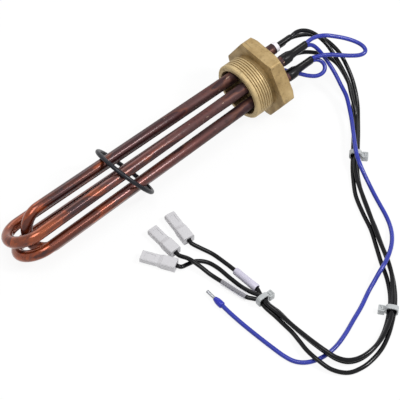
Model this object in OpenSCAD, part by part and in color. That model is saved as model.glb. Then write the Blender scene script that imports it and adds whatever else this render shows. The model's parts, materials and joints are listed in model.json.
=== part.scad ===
/* [Screw plug] */
// Outside diameter of the screwed spigot (metric fine thread)
thread_d = 45; // [42:0.5:50]
// Length of the spigot from the sealing face to its rim
spigot_len = 18; // [15:0.5:26]
// Chamfer at the rim of the spigot
rim_chamfer = 1.5; // [0.5:0.1:2]
// Length of the relief groove beside the sealing face
relief_len = 3.4; // [2:0.1:4.5]
// Depth of the relief groove below the thread's outside
relief_depth = 1.6; // [1:0.1:2]
// Depth of the recess in the front of the spigot
recess_depth = 13; // [8:0.5:14]
// Clearance between the outer legs and the wall of the recess
recess_gap = 0.7; // [0.4:0.1:1.5]
// Hexagon across its flats
hex_af = 55; // [53:1:65]
// Thickness of the hexagon
hex_h = 11; // [8:0.5:16]
// Height of the turned chamfer on the rear corners of the hexagon
hex_chamfer = 1.2; // [0.4:0.1:2]
// Clearance of each tube in its drilled hole
braze_gap = 0.05; // [0.02:0.01:0.1]
// Height of the small chamfer on the front corners of the hexagon
hex_break = 0.4; // [0.2:0.1:0.8]

/* [Heating tubes] */
// Outside diameter of the copper sheath
tube_d = 8.5; // [7.5:0.1:9.5]
// Wall of the copper sheath
tube_wall = 0.8; // [0.5:0.1:1.2]
// Radius of the circle on which the six legs leave the plug
pitch_r = 13.3; // [12:0.1:14.5]
// Centre-line radius of the hairpin bends
bend_r = 16; // [14:0.5:18]
// Loss of radius that each bend takes from the drawn tube
bend_loss = 0.02; // [0.01:0.01:0.05]
// Reach of the middle hairpin, from the sealing face to its tip
reach_1 = 217; // [150:1:260]
// Reach of the upper hairpin
reach_2 = 230; // [165:1:275]
// Reach of the lower hairpin, which lies on the surface
reach_3 = 228; // [165:1:275]
// Length of each tube that stands out behind the hexagon
stub_len = 13; // [8:0.5:20]

/* [Inside the tubes] */
// Clearance between the packed powder and the pieces round it
pack_gap = 0.05; // [0.02:0.01:0.1]
// Outside diameter of the resistance coil
coil_d = 3; // [2.6:0.1:3.4]
// Diameter of the resistance wire
coil_wire = 0.5; // [0.3:0.05:0.7]
// Diameter of the terminal pins
pin_d = 2.5; // [2:0.1:2.6]
// Length of each terminal pin beyond its bush
pin_out = 10; // [7:0.5:12]
// Length of each terminal pin past the floor of the recess
pin_in = 5; // [3:0.5:7]

/* [Terminal ends] */
// Step from the sheath down to the bush outside it
bush_step = 0.3; // [0.1:0.1:0.5]
// Chamfer of the bush
bush_chamfer = 0.5; // [0.3:0.1:0.8]
// Height of the ceramic bush outside the tube
bush_h = 3.5; // [2:0.5:5]
// Length of the bush inside the tube
bush_spigot = 4; // [3:0.5:6]
// Wall of the shrink sleeves
sleeve_wall = 0.7; // [0.5:0.1:1]
// Length of a sleeve over one lead, from the bush
sleeve_one = 14; // [12:0.5:18]
// Length of a sleeve over two leads, from the bush
sleeve_two = 17; // [13:0.5:20]
// Length over which a sleeve over two leads narrows past the bush
sleeve_taper = 3; // [2:0.5:4]
// Length of a sleeve over two leads that grips the stub
sleeve_grip = 4; // [2:0.5:6]
// Bare length of the pin that takes the last neutral link
joint_bare = 5.5; // [5:0.5:6]

/* [Sealing ring] */
// Inside diameter of the sealing ring
ring_id = 45; // [44.5:0.5:46]
// Diameter of the ring's section
ring_section = 3.4; // [3:0.1:3.5]
// Distance of the ring's middle from the sealing face
ring_x = 126; // [110:1:140]
// Height of the ring above the top of the legs that hold it up
ring_gap = 0.45; // [0.4:0.05:0.8]

/* [Leads] */
// Outside diameter of the insulated leads
lead_d = 3.2; // [3:0.05:3.25]
// Clearance of a lead in the pieces that are on it
lead_gap = 0.05; // [0.02:0.01:0.1]
// Outside diameter of the slack sleeves on two leads
slack_d = 6; // [5:0.1:6.4]
// Length of the slack sleeves
slack_len = 21; // [15:0.5:22]
// Rounding of the slack sleeves' ends
slack_edge = 0.5; // [0.2:0.1:0.8]

/* [Push-on connectors] */
// Length of the nylon housing
house_len = 26; // [24:0.5:30]
// Width of the housing at the wire end
house_w = 9; // [8.4:0.1:10]
// Height of the housing at the wire end
house_h = 7; // [6.4:0.1:8]
// Width of the housing at its mouth
mouth_w = 8.4; // [8:0.1:9]
// Height of the housing at its mouth
mouth_h = 5.4; // [5:0.1:6]
// Wall of the housing at its mouth
house_wall = 0.7; // [0.5:0.1:0.8]
// Thickness of the brass strip of the receptacle
strip_t = 0.5; // [0.4:0.05:0.6]

/* [Wire-end ferrule] */
// Outside diameter of the collar
collar_d = 5; // [4.4:0.1:5.6]
// Length of the collar
collar_len = 8; // [7:0.5:10]
// Outside diameter of the tinned tube
ferrule_d = 2.4; // [2:0.1:2.8]
// Length of the tinned tube beyond the collar
ferrule_len = 8; // [6:0.5:12]

/* [Cable ties] */
// Width of the strap
tie_w = 3.6; // [2.5:0.1:4.8]
// Thickness of the strap
tie_t = 1.2; // [1:0.05:1.3]
// Side of the head
tie_head = 5; // [4:0.1:6]

/* [Hidden] */

$fn = 64;
eps = 0.01;
// Length by which one stretch of a bent tube runs into the next
seat = 0.3;
across_corners = hex_af / cos(30);
tube_r = tube_d / 2;
bore_r = tube_r - tube_wall;
pack_r = bore_r - pack_gap;
recess_r = pitch_r + tube_r + recess_gap;
recess_floor = recess_depth - spigot_len;

// Places along the plug's axis, from the sealing face towards the terminals
stub_end = hex_h + stub_len;
bush_end = stub_end + bush_h;
pin_end = bush_end + pin_out;
coil_start = recess_floor - pin_in;
one_end = bush_end + sleeve_one;
two_end = bush_end + sleeve_two;
one_r = lead_d / 2 + lead_gap;
two_r = lead_d + lead_gap;

// The hairpins join legs that are given by their angle round the axis
HAIRPINS = [[60, 240, reach_1], [120, 0, reach_2], [180, 300, reach_3]];
function unit(v) = v / norm(v);
function around(angle, r) = [r * cos(angle), r * sin(angle)];
function pair_mid(i) = (around(HAIRPINS[i][0], pitch_r) + around(HAIRPINS[i][1], pitch_r)) / 2;
function pair_across(i) = around(HAIRPINS[i][0], pitch_r) - around(HAIRPINS[i][1], pitch_r);
function pair_half(i) = norm(pair_across(i)) / 2;
function pair_turn(i) = atan2(pair_across(i)[1], pair_across(i)[0]);
function bend_x(i) = tube_r + bend_r - HAIRPINS[i][2];
// Angle by which each leg leans outwards between the plug and the bend
function spread(i) =
    let (run = recess_floor - bend_x(i), half = pair_half(i))
    90 - atan2(half, run) - acos(bend_r / norm([run, half]));

// The heater lies on one flat of the hexagon and on the lowest hairpin
function clear_of_floor(tilt) =
    cos(tilt) * (hex_af / 2 + pair_mid(2)[1]) + sin(tilt) * bend_x(2) - tube_r
    - bend_r * norm([cos(tilt) * sin(pair_turn(2)), sin(tilt)]);
function lying_tilt(low, high, n) =
    n == 0 ? (low + high) / 2
    : clear_of_floor((low + high) / 2) > 0 ? lying_tilt((low + high) / 2, high, n - 1)
    : lying_tilt(low, (low + high) / 2, n - 1);
tilt = lying_tilt(0, 15, 40);
lift = cos(tilt) * hex_af / 2;
tip_x = cos(tilt) * bend_x(1) - sin(tilt) * pair_mid(1)[1] - tube_r
    - bend_r * norm([cos(tilt), sin(tilt) * sin(pair_turn(1))]);
end_x = cos(tilt) * two_end + sin(tilt) * (two_r + sleeve_wall);
origin_x = -(tip_x + end_x) / 2;

// Place on the lying heater of a point that is given along the plug's axis
function lying(p) =
    [cos(tilt) * p[0] - sin(tilt) * p[2], p[1], sin(tilt) * p[0] + cos(tilt) * p[2] + lift];
function terminal(k) = around(60 * (k - 1), pitch_r);
function on_terminal(k, x, up) = lying([x, terminal(k)[0], terminal(k)[1] + up]);

// Middle of a leg, side 1 or -1 of a hairpin, at a place along the axis
function leg_at(i, side, x) =
    pair_mid(i) + side * (pair_half(i) + (recess_floor - x) * tan(spread(i))) * unit(pair_across(i));

// The ring leans on the two upper legs and stands on the surface, clear of the two lower ones
ring_mean = (ring_id + ring_section) / 2;
held_x = -ring_x - ring_mean / 2;
held = [leg_at(0, 1, held_x), leg_at(1, 1, held_x)];
foot = [leg_at(0, -1, ring_mean / 2 - ring_x), leg_at(2, -1, ring_mean / 2 - ring_x)];
held_mid = (held[0][0] + held[1][0]) / 2;
foot_mid = (foot[0][0] + foot[1][0]) / 2;
held_z = lying([held_x, 0, max(held[0][1], held[1][1]) + tube_r])[2];
held_share = cos(asin((held[0][0] - held_mid) / ring_mean));
ring_lean = acos((held_z + ring_gap) / (ring_mean * (1 + held_share)));
ring_yaw = asin((foot_mid - held_mid) / (2 * ring_mean * sin(ring_lean)));
ring_z = ring_mean * cos(ring_lean) + ring_section / 2;

// Push-on connectors: place of the wire end on the surface, and heading
CONNECTORS = [[-122, -66, 82], [-136, -68, 90], [-143, -77, 121]];
axis_h = house_h / 2;
lead_run = 3.5;
crimp_from = 3;
crimp_len = 6;
crimp_end = 0.5;
crimp_d = lead_d + 2 * lead_gap + 2 * strip_t;
neck_end = 14;
plate_len = 9;
plate_w = 5.6;
plate_z = -1.55;
curl_d = 1.6;
barrel_len = 10;
blend_len = 3;
round_r = 2.6;
mouth_round = 1;
function in_connector(i, x) =
    let (c = CONNECTORS[i - 1])
    [c[0] + x * cos(c[2]), c[1] + x * sin(c[2]), axis_h];
function crimped(i) = [for (x = [-lead_run, 0, crimp_from + crimp_len - crimp_end]) in_connector(i, x)];

// Wire-end ferrule: place of the wire end on the surface, and heading
FERRULE = [-140.5, -123, 90];
wire_in = 5;
collar_mouth = 0.4;
collar_nose = 0.7;
function in_ferrule(x) =
    [FERRULE[0] + x * cos(FERRULE[2]), FERRULE[1] + x * sin(FERRULE[2]), collar_d / 2];

// Cable ties: place, heading, width and height of the loop, side of the head
TIES = [[21.1, -87.2, 224.6, 6.8, 6.3, 1],
    [-55.6, -202.4, 218.1, 6.8, 6.3, -1], [-117, -138, 90, 7, 6.3, -1]];
tie_round = 1.7;

// Slack sleeves: place of one end on the surface, and heading
SLACKS = [[-113.2, -128, 93.5], [-123.4, -128.5, 102.1]];

// Routes of the leads, from the sealing face, on the surface at its height
ROUTE_1 = concat(
    [on_terminal(6, pin_end, 0), on_terminal(6, one_end, 0)],
    [[47, 6, 18], [54, 3, 17.5], [60, -2, 16.5], [65, -9, 15], [67.5, -18, 12.5], [66.5, -27, 9.5],
     [64, -36, 6.5], [60, -45, 4.2], [52.8, -52.2, 2.8], [44.7, -61, 2], [36, -70.2, 2.3],
     [27.7, -78.3, 2.7], [19.9, -86, 2.9], [12.1, -93.7, 2.4], [4.7, -102.3, 1.7], [-3.9, -113.7, 1.6],
     [-10.9, -128.1, 1.6], [-17, -142.7, 1.6], [-24.6, -155.9, 1.6], [-31.8, -168.2, 1.6],
     [-37.8, -179.6, 1.6], [-44.4, -189.1, 1.9], [-50.4, -195.8, 2.5], [-56.7, -201.1, 2.9],
     [-63.4, -206, 2.4], [-72, -211, 1.7], [-81.9, -214.7, 1.6], [-91.3, -216.1, 1.6], [-100, -215.2, 1.6],
     [-106.9, -211.7, 2.2], [-111.4, -205.9, 3.6], [-113.9, -197.8, 5], [-115.1, -188.6, 5],
     [-115, -179.2, 3.4], [-114.7, -169.9, 2], [-114.5, -160.8, 1.6], [-114.4, -151.8, 1.9],
     [-115.7, -144.1, 2.5], [-115.3, -138, 2.9], [-115.3, -135.8, 2.9], [-114.3, -132, 3],
     [-113.2, -128, 3], [-114.5, -107, 3], [-115, -96, 1.9], [-116.5, -85, 1.7], [-120, -76, 2.6]],
    crimped(1));
ROUTE_2 = concat(
    [on_terminal(1, pin_end, 0), on_terminal(1, one_end, 0)],
    [[47, 12.5, 30.5], [53, 9, 32], [59, 3.5, 33], [63.5, -3.5, 32.5], [66, -12, 30], [67, -21, 26],
     [66.1, -29.1, 21], [63.8, -38, 15.5], [59.7, -46.9, 10.2], [54.5, -55, 5.2], [47.2, -63.3, 2],
     [38.4, -72.5, 2.3], [30.1, -80.7, 2.7], [22.3, -88.4, 2.9], [14.6, -96, 2.4], [7.6, -104.5, 1.7],
     [0.3, -116.1, 1.6], [-7, -130, 1.6], [-13.8, -144.3, 1.6], [-21, -157.9, 1.6], [-27.5, -170.5, 1.6],
     [-34.3, -181.9, 1.6], [-41.6, -191.4, 1.9], [-48.1, -198.2, 2.5], [-54.6, -203.8, 2.9],
     [-61.5, -208.8, 2.4], [-70.4, -214.3, 1.7], [-80.7, -218.9, 1.6], [-91.2, -221.2, 1.6],
     [-101.8, -221.3, 1.6], [-112, -218, 1.7], [-119.2, -209.8, 3.2], [-122, -199.5, 5], [-122.4, -189, 5],
     [-120.6, -179.1, 3.8], [-118.7, -169.9, 2], [-118.4, -160.8, 1.6], [-118.5, -152.1, 1.9],
     [-119.1, -144.2, 2.5], [-118.7, -138, 2.9], [-118.7, -135.8, 2.9], [-121, -132.3, 3],
     [-123.4, -128.5, 3], [-127.8, -108, 3], [-130, -98, 3.4], [-131.8, -88.5, 5.2], [-133.8, -79.5, 5.8]],
    crimped(2));
ROUTE_3 = concat(
    [on_terminal(2, pin_end, 0), on_terminal(2, one_end, 0)],
    [[47, 6.5, 42], [52, 4, 42], [56, 0, 40.5], [59, -6, 37.5], [61, -13, 33], [61, -22, 27.5],
     [60, -31, 22.5], [58, -40, 17.5], [54, -47.8, 13], [49.8, -56.2, 8.6], [45.9, -62.1, 4.9],
     [37.2, -71.3, 5.2], [28.9, -79.5, 5.6], [21.1, -87.2, 5.8], [13.3, -94.8, 5.3], [6.5, -103.7, 4.7],
     [-0.4, -115.7, 4.9], [-7.6, -129.7, 4.9], [-15, -143.7, 4.6], [-22, -157.3, 4.8],
     [-28.1, -170.2, 4.9], [-35, -181.4, 4.8], [-42.9, -190.4, 4.8], [-49.2, -197, 5.4],
     [-55.6, -202.4, 5.8], [-62.4, -207.4, 5.3], [-71.5, -212.1, 4.8], [-81.6, -215.6, 4.8],
     [-91.3, -216.8, 4.9], [-100.1, -215.7, 4.9], [-107.2, -212.2, 5.5], [-112.1, -206.2, 6.9],
     [-114.6, -198, 8.2], [-115.9, -188.6, 8.2], [-116, -179.2, 6.6], [-116, -169.9, 5.1],
     [-116.1, -160.8, 4.5], [-116.4, -151.9, 4.6], [-117.4, -144.2, 5.4], [-117, -138, 5.8],
     [-117, -135.8, 5.7], [-117.6, -132, 4.9], [-118.6, -127.5, 3.4], [-119.8, -119, 1.8],
     [-120.8, -108, 1.6], [-121.5, -97, 1.6], [-124, -88, 1.6], [-129.5, -82, 1.6], [-136, -80.4, 2]],
    crimped(3));
ROUTE_BLUE = concat(
    [on_terminal(3, pin_end, -one_r), on_terminal(3, two_end, -one_r)],
    [[49.5, -7.5, 37], [52.8, -10, 33], [55, -14, 28], [56, -20.5, 22.8], [55.8, -28, 17.8],
     [54, -36.5, 13.5], [50.8, -45.9, 11.5], [45.5, -54.9, 9.6], [39.3, -63.9, 8.6], [32.1, -73.1, 8.6],
     [24.6, -82.2, 10.1], [18.5, -90.3, 10.9], [14.2, -98, 10], [12, -105.3, 6.4], [10.1, -112.9, 3],
     [7.2, -121.2, 1.7], [3.8, -130.3, 1.6], [0.5, -139.3, 1.6], [-3.5, -147.8, 1.7], [-9.5, -156, 3.4],
     [-17.4, -163.4, 6.2], [-26.1, -169.3, 8.3], [-34, -173.1, 8.6], [-41.4, -175.5, 7.3],
     [-47.7, -177.3, 4.2], [-55.4, -179.8, 2], [-68, -185.5, 1.6], [-80, -190, 1.6], [-92, -194.5, 1.6],
     [-103, -197.5, 1.6], [-112, -198.2, 1.6], [-120.5, -197, 1.6], [-128, -193.5, 1.6], [-133, -188, 1.6],
     [-135.5, -180.5, 1.6], [-137, -170, 1.6], [-138.4, -157, 1.6], [-139.6, -144, 1.8],
     [-140.4, -132, 2.3]],
    [in_ferrule(0), in_ferrule(wire_in)]);
ROUTE_LINK_1 = concat(
    [on_terminal(3, pin_end, one_r), on_terminal(3, two_end, one_r)],
    [[51, -7.5, 44], [58, -11, 44.5], [64.8, -15.8, 42.6], [71.6, -21.5, 40], [76.8, -27.7, 37.4],
     [78.8, -33, 35.4], [77.2, -36.6, 34.3], [72.6, -36.4, 33.7], [66.8, -32, 33.3], [61, -26, 33],
     [54.5, -19, 32.2]],
    [on_terminal(4, two_end, one_r), on_terminal(4, pin_end, one_r)]);
ROUTE_LINK_2 = concat(
    [on_terminal(4, pin_end, -one_r), on_terminal(4, two_end, -one_r)],
    [[48.5, -14.3, 27.2], [51.2, -17, 25.8], [51.2, -20.8, 23.8], [48, -23.2, 21.6], [42.5, -22.3, 20.4],
     [37.5, -18.3, 20.6], [33, -13.3, 21.8], [28, -8, 23.2], [23.5, -3.6, 25], [18.5, -0.2, 25.6],
     [14.6, 1.2, 23.2], [14.2, 1, 19.4], [17.8, 0.4, 17.2], [23, 0, 17], [28, -0.8, 17.3], [31.8, -4.1, 17.5]]);

// Ring of points round one place of a lead, with flats at the bottom and the sides
cord_sides = 8;
function heading(route, i) = unit(route[min(i + 1, len(route) - 1)] - route[max(i - 1, 0)]);
function cord_ring(middle, way) =
    let (side = unit(cross(way, [0, 0, 1])), up = cross(side, way), r = lead_d / 2)
    [for (k = [0 : cord_sides - 1]) let (a = (k + 0.5) * 360 / cord_sides)
        middle + r * (cos(a) * side + sin(a) * up)];

// Tube of insulated wire along a route
module cord(route) {
    last = len(route) - 1;
    points = [for (i = [0 : last]) each cord_ring(route[i], heading(route, i))];
    start_cap = [for (k = [cord_sides - 1 : -1 : 0]) k];
    end_cap = [for (k = [0 : cord_sides - 1]) last * cord_sides + k];
    walls = [for (i = [0 : last - 1], k = [0 : cord_sides - 1])
        let (next = (k + 1) % cord_sides, a = i * cord_sides, b = a + cord_sides)
        [a + k, a + next, b + next, b + k]];
    polyhedron(points, concat([start_cap], walls, [end_cap]));
}

// Whole heater laid down, from its own axis to the surface
module laid() {
    translate([origin_x, 0, lift]) rotate([0, -tilt, 0]) children();
}

// Pieces on the surface beside the heater
module beside() {
    translate([origin_x, 0, 0]) children();
}

// Turned shape about the plug's axis, from a profile of [place, radius]
module turned() {
    rotate([90, 0, 90]) rotate_extrude() children();
}

module profile(points) {
    polygon([for (p = points) [p[1], p[0]]]);
}

// Rounded rectangle about the middle
module rounded(w, h, r) {
    square([w - 2 * r, h], center = true);
    square([w, h - 2 * r], center = true);
    for (x = [-1, 1], y = [-1, 1]) translate([x * (w / 2 - r), y * (h / 2 - r)]) circle(r);
}

// Section drawn along the axis between two places
module drawn(from, to) {
    translate([from, 0, 0]) rotate([90, 0, 90]) linear_extrude(to - from) children();
}

// Round bar bent to a hairpin, with straight ends to leg_end, or its legs cut short by leg_cut
module hairpin(i, r, leg_end, leg_cut) {
    g = spread(i);
    half = pair_half(i);
    lean_from = [recess_floor, half];
    lean_to = [bend_x(i) + bend_r * sin(g), bend_r * cos(g)];
    run = norm(lean_to - lean_from);
    turn = seat / bend_r * 180 / PI;
    translate([0, pair_mid(i)[0], pair_mid(i)[1]]) rotate([pair_turn(i), 0, 0]) {
        translate([bend_x(i), 0, 0]) rotate([0, 0, 90 - g - turn])
            rotate_extrude(angle = 180 + 2 * g + 2 * turn)
            translate([bend_r, 0]) circle(r - 2 * bend_loss);
        for (m = [0, 1]) mirror([0, m, 0]) {
            translate([lean_to[0], lean_to[1], 0]) rotate([0, 0, -g])
                drawn(-seat, run + seat - leg_cut) circle(r - bend_loss);
            if (leg_end > recess_floor)
                translate([0, half, 0]) drawn(recess_floor - seat, leg_end) circle(r);
        }
    }
}

// Tube bent to a hairpin
module hairpin_tube(i, outer_r, inner_r, leg_end, leg_cut) {
    difference() {
        hairpin(i, outer_r, leg_end, leg_cut);
        hairpin(i, inner_r, leg_end + seat, leg_cut - 2 * seat);
    }
}

module tube_section(outer_r, inner_r) {
    difference() {
        circle(outer_r);
        circle(inner_r);
    }
}

// Brass plug: hexagon, screwed spigot, recess and six drilled holes
module screw_plug() {
    color("#b39a68") laid() difference() {
        union() {
            intersection() {
                drawn(0, hex_h) circle(d = across_corners, $fn = 6);
                turned() profile([
                    [0, 0], [0, across_corners / 2 - hex_break],
                    [hex_break, across_corners / 2],
                    [hex_h - hex_chamfer, across_corners / 2],
                    [hex_h, across_corners / 2 - hex_chamfer / tan(30)], [hex_h, 0]]);
            }
            turned() profile([
                [eps, 0], [eps, thread_d / 2 - relief_depth],
                [-relief_len + relief_depth / 2, thread_d / 2 - relief_depth],
                [-relief_len, thread_d / 2], [rim_chamfer - spigot_len, thread_d / 2],
                [-spigot_len, thread_d / 2 - rim_chamfer], [-spigot_len, 0]]);
        }
        drawn(-spigot_len - 1, recess_floor) circle(recess_r);
        for (k = [1 : 6]) translate([0, terminal(k)[0], terminal(k)[1]])
            drawn(recess_floor - 1, hex_h + 1) circle(tube_r + braze_gap);
    }
}

// Copper sheath of one hairpin, with both its stubs
module heating_tube(i) {
    color("#8a5a44") laid() hairpin_tube(i - 1, tube_r, bore_r, stub_end, 0);
}

// Packed powder that holds the coil in the middle of the sheath
module magnesia_fill(i) {
    color("#e8e4dc") laid()
        hairpin_tube(i - 1, pack_r, coil_d / 2 + pack_gap, stub_end - bush_spigot, 0);
}

// Close-wound resistance coil, drawn as the tube that its turns fill
module heating_coil(i) {
    color("#7d7a78") laid()
        hairpin_tube(i - 1, coil_d / 2, coil_d / 2 - coil_wire, coil_start, pin_in + seat + 2 * pack_gap);
}

// Ceramic bush in the end of a sheath
module ceramic_bush(k) {
    color("#ece9e4") laid() translate([0, terminal(k)[0], terminal(k)[1]]) turned() profile([
        [stub_end - bush_spigot, pin_d / 2 + pack_gap], [stub_end - bush_spigot, pack_r],
        [stub_end, pack_r], [stub_end, tube_r - bush_step], [bush_end - bush_chamfer, tube_r - bush_step],
        [bush_end, tube_r - bush_step - bush_chamfer], [bush_end, pin_d / 2 + pack_gap]]);
}

// Steel pin from the coil to its lead
module terminal_pin(k) {
    color("#8f8c88") laid() translate([0, terminal(k)[0], terminal(k)[1]])
        drawn(coil_start, pin_end) circle(d = pin_d);
}

// Rubber ring round the legs, as it was left there
module sealing_ring() {
    color("#1c1d22") beside() translate([-ring_x, (held_mid + foot_mid) / 2, ring_z])
        rotate([0, 90 - ring_lean, ring_yaw]) rotate_extrude()
        translate([ring_mean, 0]) circle(d = ring_section);
}

// Sleeve over one lead, from the bush or from the bare joint
module sleeve_over_one(k, bare) {
    laid() translate([0, terminal(k)[0], terminal(k)[1]])
        drawn(bush_end + bare, one_end) tube_section(one_r + sleeve_wall, one_r);
}

// Sleeve over two leads, shrunk over the bush and the end of the stub
module sleeve_over_two(k) {
    grip_r = tube_r + lead_gap;
    laid() translate([0, terminal(k)[0], terminal(k)[1]]) turned() profile([
        [stub_end - sleeve_grip, grip_r], [stub_end - sleeve_grip, grip_r + sleeve_wall],
        [bush_end, grip_r + sleeve_wall], [bush_end + sleeve_taper, two_r + sleeve_wall],
        [two_end, two_r + sleeve_wall], [two_end, two_r], [bush_end + sleeve_taper, two_r],
        [bush_end, grip_r]]);
}

module shrink_sleeve(k) {
    color("#17171a") {
        if (k == 3 || k == 4) sleeve_over_two(k);
        else sleeve_over_one(k, k == 5 ? joint_bare : 0);
    }
}

module black_lead_1() {
    color("#1b1b1e") beside() cord(ROUTE_1);
}

module black_lead_2() {
    color("#1b1b1e") beside() cord(ROUTE_2);
}

module black_lead_3() {
    color("#1b1b1e") beside() cord(ROUTE_3);
}

module blue_lead() {
    color("#3f43b4") beside() cord(ROUTE_BLUE);
}

module blue_link_1() {
    color("#3f43b4") beside() cord(ROUTE_LINK_1);
}

module blue_link_2() {
    color("#3f43b4") beside() cord(ROUTE_LINK_2);
}

// Loose nylon sleeve that was slid back along a lead
module slack_sleeve(i) {
    s = SLACKS[i - 1];
    color("#dcdae4") beside() translate([s[0], s[1], slack_d / 2]) rotate([0, 0, s[2]]) turned() profile([
        [0, one_r], [0, slack_d / 2 - slack_edge], [slack_edge, slack_d / 2],
        [slack_len - slack_edge, slack_d / 2], [slack_len, slack_d / 2 - slack_edge], [slack_len, one_r]]);
}

module at_connector(i) {
    beside() translate(in_connector(i, 0)) rotate([0, 0, CONNECTORS[i - 1][2]]) children();
}

// Nylon housing of a push-on connector, round at the wire and flat at the mouth
module connector_housing(i) {
    blend_end = barrel_len + blend_len;
    color("#dedce2") at_connector(i) difference() {
        union() {
            drawn(0, barrel_len) rounded(house_w, house_h, round_r);
            hull() {
                drawn(barrel_len - eps, barrel_len) rounded(house_w, house_h, round_r, $fn = 32);
                drawn(blend_end, blend_end + eps) rounded(mouth_w, mouth_h, mouth_round, $fn = 32);
            }
            drawn(blend_end, house_len) rounded(mouth_w, mouth_h, mouth_round);
        }
        drawn(-1, blend_end + eps) circle(crimp_d / 2 + lead_gap);
        drawn(blend_end, house_len + 1)
            rounded(mouth_w - 2 * house_wall, mouth_h - 2 * house_wall, mouth_round / 2);
    }
}

// Brass receptacle: crimp barrel, neck, flat base and two curled sides
module receptacle(i) {
    color("#c9a75a") at_connector(i) union() {
        drawn(crimp_from, crimp_from + crimp_len) tube_section(crimp_d / 2, crimp_d / 2 - strip_t);
        drawn(crimp_from + crimp_len - crimp_end / 2, neck_end + seat)
            translate([0, plate_z]) square([crimp_d / 2, strip_t], center = true);
        drawn(neck_end, neck_end + plate_len) {
            translate([0, plate_z]) square([plate_w, strip_t], center = true);
            for (s = [-1, 1]) translate([s * (plate_w - strip_t) / 2, plate_z + (curl_d - strip_t) / 2])
                tube_section(curl_d / 2, curl_d / 2 - strip_t);
        }
    }
}

module at_ferrule() {
    beside() translate(in_ferrule(0)) rotate([0, 0, FERRULE[2]]) children();
}

// Plastic collar of the wire-end ferrule
module ferrule_collar() {
    color("#3d55c8") at_ferrule() turned() profile([
        [0, one_r], [0, collar_d / 2 - collar_mouth], [collar_mouth, collar_d / 2],
        [wire_in, collar_d / 2], [collar_len, ferrule_d / 2 + collar_nose], [collar_len, ferrule_d / 2],
        [wire_in, ferrule_d / 2], [wire_in, one_r]]);
}

// Tinned copper tube of the wire-end ferrule, with the strands inside it
module ferrule_tube() {
    color("#b9bcc2") at_ferrule() drawn(wire_in, collar_len + ferrule_len) circle(d = ferrule_d);
}

// Nylon strap drawn round the leads, with its head at one side
module cable_tie(i) {
    t = TIES[i - 1];
    loop_w = t[3];
    loop_h = t[4];
    head_y = t[5] * (loop_w / 2 + tie_t + tie_head / 2 - eps);
    color("#e6e6e4") beside() translate([t[0], t[1], 0]) rotate([0, 0, t[2]]) {
        translate([0, 0, loop_h / 2 + tie_t]) drawn(-tie_w / 2, tie_w / 2) difference() {
            rounded(loop_w + 2 * tie_t, loop_h + 2 * tie_t, tie_round + tie_t);
            rounded(loop_w, loop_h, tie_round);
        }
        translate([0, head_y, tie_head / 2]) cube([tie_head, tie_head, tie_head], center = true);
    }
}

screw_plug();
for (i = [1 : 3]) {
    heating_tube(i);
    magnesia_fill(i);
    heating_coil(i);
    connector_housing(i);
    receptacle(i);
    cable_tie(i);
}
for (k = [1 : 6]) {
    ceramic_bush(k);
    terminal_pin(k);
    shrink_sleeve(k);
}
for (i = [1 : 2]) {
    slack_sleeve(i);
}
sealing_ring();
black_lead_1();
black_lead_2();
black_lead_3();
blue_lead();
blue_link_1();
blue_link_2();
ferrule_collar();
ferrule_tube();
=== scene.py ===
import json
import math

import bmesh
import bpy
from mathutils import Matrix, Vector


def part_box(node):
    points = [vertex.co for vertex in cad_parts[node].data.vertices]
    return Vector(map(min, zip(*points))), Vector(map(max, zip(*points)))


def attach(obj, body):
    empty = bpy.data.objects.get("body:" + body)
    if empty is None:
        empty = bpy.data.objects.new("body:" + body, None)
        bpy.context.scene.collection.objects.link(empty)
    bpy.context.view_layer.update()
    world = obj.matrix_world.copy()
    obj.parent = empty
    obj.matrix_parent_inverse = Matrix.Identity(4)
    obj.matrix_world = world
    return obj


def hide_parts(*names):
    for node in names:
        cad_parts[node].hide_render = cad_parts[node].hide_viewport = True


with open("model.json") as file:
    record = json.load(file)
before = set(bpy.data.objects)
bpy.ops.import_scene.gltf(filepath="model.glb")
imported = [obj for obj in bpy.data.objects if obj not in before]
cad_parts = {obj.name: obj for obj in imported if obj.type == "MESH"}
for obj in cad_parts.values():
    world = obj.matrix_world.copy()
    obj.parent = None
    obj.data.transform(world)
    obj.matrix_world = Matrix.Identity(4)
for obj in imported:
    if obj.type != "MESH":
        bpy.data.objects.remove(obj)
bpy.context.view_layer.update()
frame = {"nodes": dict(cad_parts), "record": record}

bl_info = {
    "name": "Screw plug immersion heater",
    "version": (1, 0, 0),
    "blender": (4, 5, 0),
    "location": "3D View > Sidebar > Heater",
    "description": "Dresses the packed heater: plug, tubes, ring, leads, connectors and stage",
    "category": "Object",
}

MM = 0.001

# The heater's own axis runs from the sealing face (x = 0) towards the terminals.
FACE = next(m for m in frame["record"]["mounts"] if m["name"] == "sealing_face")
TILT = -math.asin(FACE["axis"][2])
ORIGIN_X = FACE["pos_m"][0]
HEATER = Matrix.Translation((ORIGIN_X, 0, FACE["pos_m"][2])) @ Matrix.Rotation(-TILT, 4, "Y")

# Places along the axis, in millimetres
RECESS_FLOOR = -5
HEX_BACK = 11
STUB_END = 24
BUSH_END = 27.5
PIN_END = 37.5
SLEEVE_ONE_END = 41.5
SLEEVE_TWO_END = 44.5
BARE_JOINT = 33

# Radius of the circle of terminals; hairpins: angles of both legs on it, and reach; radius of their bends
PITCH_R = 13.3
HAIRPINS = [(60, 240, 217), (120, 0, 230), (180, 300, 228)]
BEND_R = 16

# On the surface, from the sealing face in millimetres: place, and heading in degrees
CONNECTORS = [(-122, -66, 82), (-136, -68, 90), (-143, -77, 121)]
CONNECTOR_AXIS = 3.5
WIRE_IN_CONNECTOR = 8.5
FERRULE = (-140.5, -123, 90)
FERRULE_AXIS = 2.5
WIRE_IN_FERRULE = 5
SLACKS = [(-113.2, -128, 93.5), (-123.4, -128.5, 102.1)]
SLACK_AXIS = 3
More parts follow.
